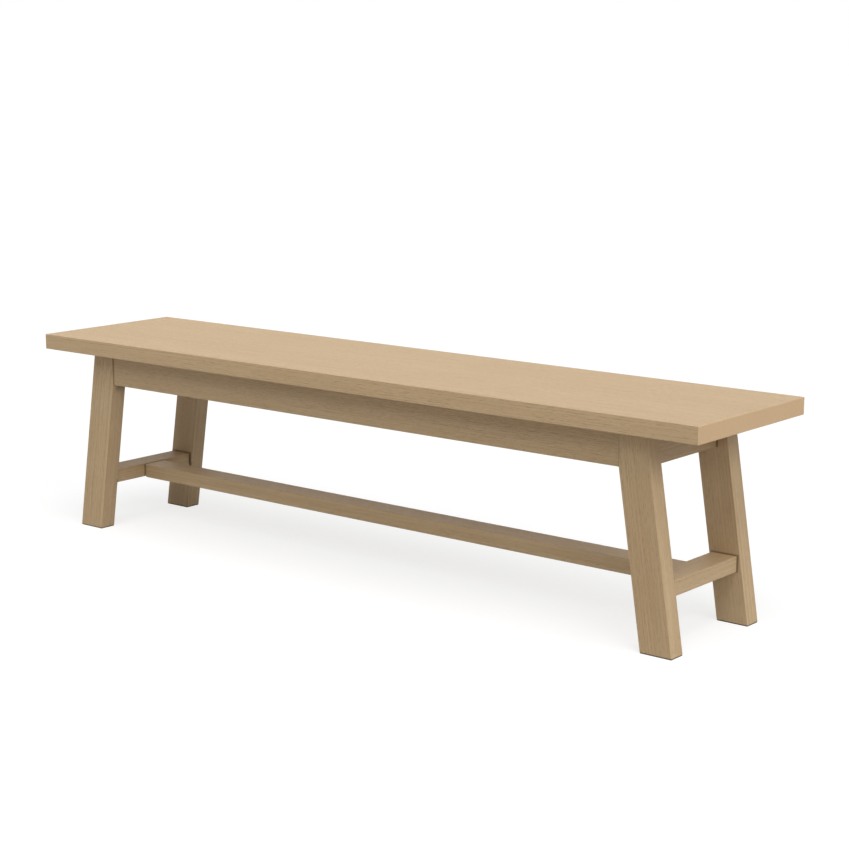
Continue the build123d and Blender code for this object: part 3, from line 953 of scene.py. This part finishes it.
class BENCH_OT_hanger_bolts(bpy.types.Operator):
    """Makes the threaded hanger bolts, and gives their washers and nuts their zinc"""

    bl_idname = "bench.hanger_bolts"
    bl_label = "Hanger Bolts"
    bl_options = {"REGISTER", "UNDO"}

    # The shares of a bolt's length that have the nut's thread and no thread.
    machine_share = 0.52
    plain_share = 0.1

    # A thread's outline: heights as shares of its pitch, and depths as shares of its depth.
    thread_heights = (0, 0.38, 0.5, 0.88, 1)
    thread_depths = (1, 0, 0, 1, 1)
    wood_depth_share = 2

    # Steps in a turn, turns to cut off, and the share of the pitch over which points are merged.
    steps = 24
    spare_turns = 2
    weld_share = 0.01

    def execute(self, context):
        hardware = context.scene.bench_hardware
        material = zinc_steel()
        bm = bmesh.new()
        for solid in solids_of("hanger_bolts"):
            self.add_bolt(bm, solid, hardware)
        finish_piece("threaded_hanger_bolts", bm, material, "hanger_bolts")
        for node in ("bolt_washers", "bolt_nuts"):
            coat(node, material)
        return {"FINISHED"}

    def add_bolt(self, bm, solid, hardware):
        """Adds one bolt in the place of a solid, from the nut's end to the point in the leg."""
        middle = sum(solid, Vector()) / len(solid)
        way = Vector((1 if middle.x > 0 else -1, 1 if middle.y > 0 else -1, 0)).normalized()
        reaches = [place.dot(way) for place in solid]
        side = middle - way * middle.dot(way)
        turn = way.to_track_quat("Z", "Y").to_matrix().to_4x4()
        place = Matrix.Translation(side + way * min(reaches)) @ turn
        length = max(reaches) - min(reaches)
        machine = length * self.machine_share
        plain = machine + length * self.plain_share
        radius, depth = hardware.bolt_radius, hardware.thread_depth
        wood_depth = self.wood_depth_share * depth
        self.add_thread(bm, place, (0, machine), radius, depth, hardware.machine_pitch)
        self.add_thread(bm, place, (plain, length), radius, wood_depth, hardware.wood_pitch)
        shank = place @ Matrix.Translation((0, 0, (machine + plain) / 2))
        bmesh.ops.create_cone(
            bm, cap_ends=True, segments=self.steps, radius1=radius - depth,
            radius2=radius - depth, depth=plain - machine + 2 * depth, matrix=shank,
        )

    def add_thread(self, bm, place, span, radius, depth, pitch):
        """Adds a closed length of thread between two heights on a bolt."""
        part = bmesh.new()
        start = span[0] - pitch
        profile = [
            part.verts.new((radius - share * depth, 0, start + height * pitch))
            for height, share in zip(self.thread_heights, self.thread_depths)
        ]
        edges = [part.edges.new(pair) for pair in zip(profile, profile[1:])]
        turns = int((span[1] - span[0]) / pitch) + self.spare_turns
        bmesh.ops.spin(
            part, geom=profile + edges, cent=(0, 0, 0), axis=(0, 0, 1),
            dvec=(0, 0, pitch / self.steps), angle=2 * pi * turns, steps=self.steps * turns,
        )
        bmesh.ops.remove_doubles(part, verts=part.verts, dist=pitch * self.weld_share)
        for height, outward in ((span[0], -1), (span[1], 1)):
            everything = part.verts[:] + part.edges[:] + part.faces[:]
            bmesh.ops.bisect_plane(
                part, geom=everything, plane_co=(0, 0, height), plane_no=(0, 0, outward),
                clear_outer=True, dist=MERGE_DISTANCE,
            )
        bmesh.ops.holes_fill(part, edges=[e for e in part.edges if e.is_boundary])
        bmesh.ops.recalc_face_normals(part, faces=part.faces)
        part.transform(place)
        mesh = bpy.data.meshes.new("thread")
        part.to_mesh(mesh)
        part.free()
        bm.from_mesh(mesh)
        bpy.data.meshes.remove(mesh)


class BENCH_OT_fixings(bpy.types.Operator):
    """Gives the screws, seat brackets and dowels their metals and beech"""

    bl_idname = "bench.fixings"
    bl_label = "Screws, Brackets and Dowels"
    bl_options = {"REGISTER", "UNDO"}

    screws = ("block_screws", "brace_screws", "bracket_seat_screws", "bracket_apron_screws")
    dowels = {
        "apron_dowels": ALONG_BENCH,
        "stretcher_dowels": ALONG_BENCH,
        "brace_dowels": ACROSS_BENCH,
    }

    def execute(self, context):
        steel = zinc_steel()
        for node in self.screws:
            coat(node, steel)
        coat("seat_brackets", black_steel())
        for node, lie in self.dowels.items():
            coat(node, beech(f"beech_{node}", lie))
        return {"FINISHED"}


class BENCH_OT_studio(bpy.types.Operator):
    """Sets the camera, the lamps, the pale surroundings and the floor"""

    bl_idname = "bench.studio"
    bl_label = "Studio"
    bl_options = {"REGISTER", "UNDO"}

    # Each lamp's bearing round the bench from its right end, and its height, in degrees.
    lamps = {"top": (-45, 72), "front": (-70, 50), "low": (-30, 30), "side": (0, 35)}
    lamp_spread = radians(30)
    floor_white = 1.06

    def execute(self, context):
        studio = context.scene.bench_studio
        context.scene.view_settings.view_transform = "Standard"
        self.set_camera(context, studio)
        self.set_surroundings(context, studio)
        for name, (bearing, height) in self.lamps.items():
            strength = getattr(studio, name)
            self.add_lamp(context, f"{name}_lamp", strength, radians(bearing), radians(height))
        self.set_floor(context, studio)
        return {"FINISHED"}

    def set_camera(self, context, studio):
        """The camera, off the front right corner and above the seat."""
        lens = bpy.data.cameras.new("camera")
        lens.lens = studio.lens
        camera = bpy.data.objects.new("camera", lens)
        camera.location = studio.camera_place
        camera.rotation_euler = studio.camera_turn
        context.scene.collection.objects.link(camera)
        context.scene.camera = camera

    def seen_directly(self, tree):
        """1 for what is seen, also in gloss and through glass, and 0 for what only lights."""
        path = add(tree, "ShaderNodeLightPath").outputs
        seen = maths(tree, "MAXIMUM", path["Is Camera Ray"], path["Is Glossy Ray"])
        return maths(tree, "MAXIMUM", seen, path["Is Transmission Ray"])

    def mix(self, tree, share, first, second):
        """A surface or surroundings between two, by a share of the second."""
        inputs = {0: share, 1: first.outputs[0], 2: second.outputs[0]}
        return add(tree, "ShaderNodeMixShader", inputs)

    def set_surroundings(self, context, studio):
        """Soft light from all round, which looks white."""
        world = bpy.data.worlds.new("surroundings")
        world.use_nodes = True
        tree = world.node_tree
        tree.nodes.clear()
        light = add(tree, "ShaderNodeBackground", {"Color": WHITE, "Strength": studio.sky})
        white = add(tree, "ShaderNodeBackground", {"Color": WHITE, "Strength": 1.0})
        mixed = self.mix(tree, self.seen_directly(tree), light, white)
        add(tree, "ShaderNodeOutputWorld", {"Surface": mixed.outputs[0]})
        context.scene.world = world

    def add_lamp(self, context, name, strength, bearing, height):
        """A far, wide lamp that lights everything evenly."""
        lamp = bpy.data.lights.new(name, "SUN")
        lamp.energy = strength * pi
        lamp.angle = self.lamp_spread
        holder = bpy.data.objects.new(name, lamp)
        towards = Vector((cos(height) * cos(bearing), cos(height) * sin(bearing), sin(height)))
        holder.rotation_euler = towards.to_track_quat("Z", "Y").to_euler()
        context.scene.collection.objects.link(holder)

    def set_floor(self, context, studio):
        """A white floor with a faint shadow, which sends some light up and is clear from below."""
        bm = bmesh.new()
        bmesh.ops.create_grid(bm, x_segments=1, y_segments=1, size=studio.floor_size / 2)
        mesh = bpy.data.meshes.new("floor")
        bm.to_mesh(mesh)
        bm.free()
        material, tree = new_material("floor")
        returned = add(tree, "ShaderNodeBsdfDiffuse", {"Color": (*studio.floor_grey, 1)})
        share = studio.shadow
        white = add(tree, "ShaderNodeBsdfDiffuse", {"Color": (share, share, share, 1)})
        strength = self.floor_white - share
        glow = add(tree, "ShaderNodeEmission", {"Color": WHITE, "Strength": strength})
        shown = add(tree, "ShaderNodeAddShader", {0: white.outputs[0], 1: glow.outputs[0]})
        top = self.mix(tree, self.seen_directly(tree), returned, shown)
        under = add(tree, "ShaderNodeNewGeometry").outputs["Backfacing"]
        surface = self.mix(tree, under, top, add(tree, "ShaderNodeBsdfTransparent"))
        add(tree, "ShaderNodeOutputMaterial", {"Surface": surface.outputs[0]})
        mesh.materials.append(material)
        floor = bpy.data.objects.new("floor", mesh)
        context.scene.collection.objects.link(floor)


OPERATORS = (
    BENCH_OT_seat,
    BENCH_OT_legs,
    BENCH_OT_aprons,
    BENCH_OT_rails,
    BENCH_OT_supports,
    BENCH_OT_foot_pads,
    BENCH_OT_hanger_bolts,
    BENCH_OT_fixings,
    BENCH_OT_studio,
)
SETTINGS = {
    "bench_wood": WoodSettings,
    "bench_joinery": JoinerySettings,
    "bench_hardware": HardwareSettings,
    "bench_studio": StudioSettings,
}


class BENCH_PT_panel(bpy.types.Panel):
    """Lists the bench's pieces and their settings"""

    bl_idname = "BENCH_PT_panel"
    bl_label = "Oak Bench"
    bl_space_type = "VIEW_3D"
    bl_region_type = "UI"
    bl_category = "Oak Bench"

    def draw(self, context):
        layout = self.layout
        for operator in OPERATORS:
            layout.operator(operator.bl_idname)
        for name, settings in SETTINGS.items():
            box = layout.box()
            for setting in settings.__annotations__:
                box.prop(getattr(context.scene, name), setting)


def register():
    """Adds the settings, operators and panel."""
    for settings in SETTINGS.values():
        bpy.utils.register_class(settings)
    for name, settings in SETTINGS.items():
        setattr(bpy.types.Scene, name, PointerProperty(type=settings))
    for cls in (*OPERATORS, BENCH_PT_panel):
        bpy.utils.register_class(cls)


def unregister():
    """Takes the settings, operators and panel away again."""
    for cls in (BENCH_PT_panel, *reversed(OPERATORS)):
        bpy.utils.unregister_class(cls)
    for name in SETTINGS:
        delattr(bpy.types.Scene, name)
    for settings in reversed(SETTINGS.values()):
        bpy.utils.unregister_class(settings)


def main():
    """Makes every piece and the studio."""
    register()
    bpy.ops.bench.seat()
    bpy.ops.bench.legs()
    bpy.ops.bench.aprons()
    bpy.ops.bench.rails()
    bpy.ops.bench.supports()
    bpy.ops.bench.foot_pads()
    bpy.ops.bench.hanger_bolts()
    bpy.ops.bench.fixings()
    bpy.ops.bench.studio()


if __name__ == "__main__":
    main()
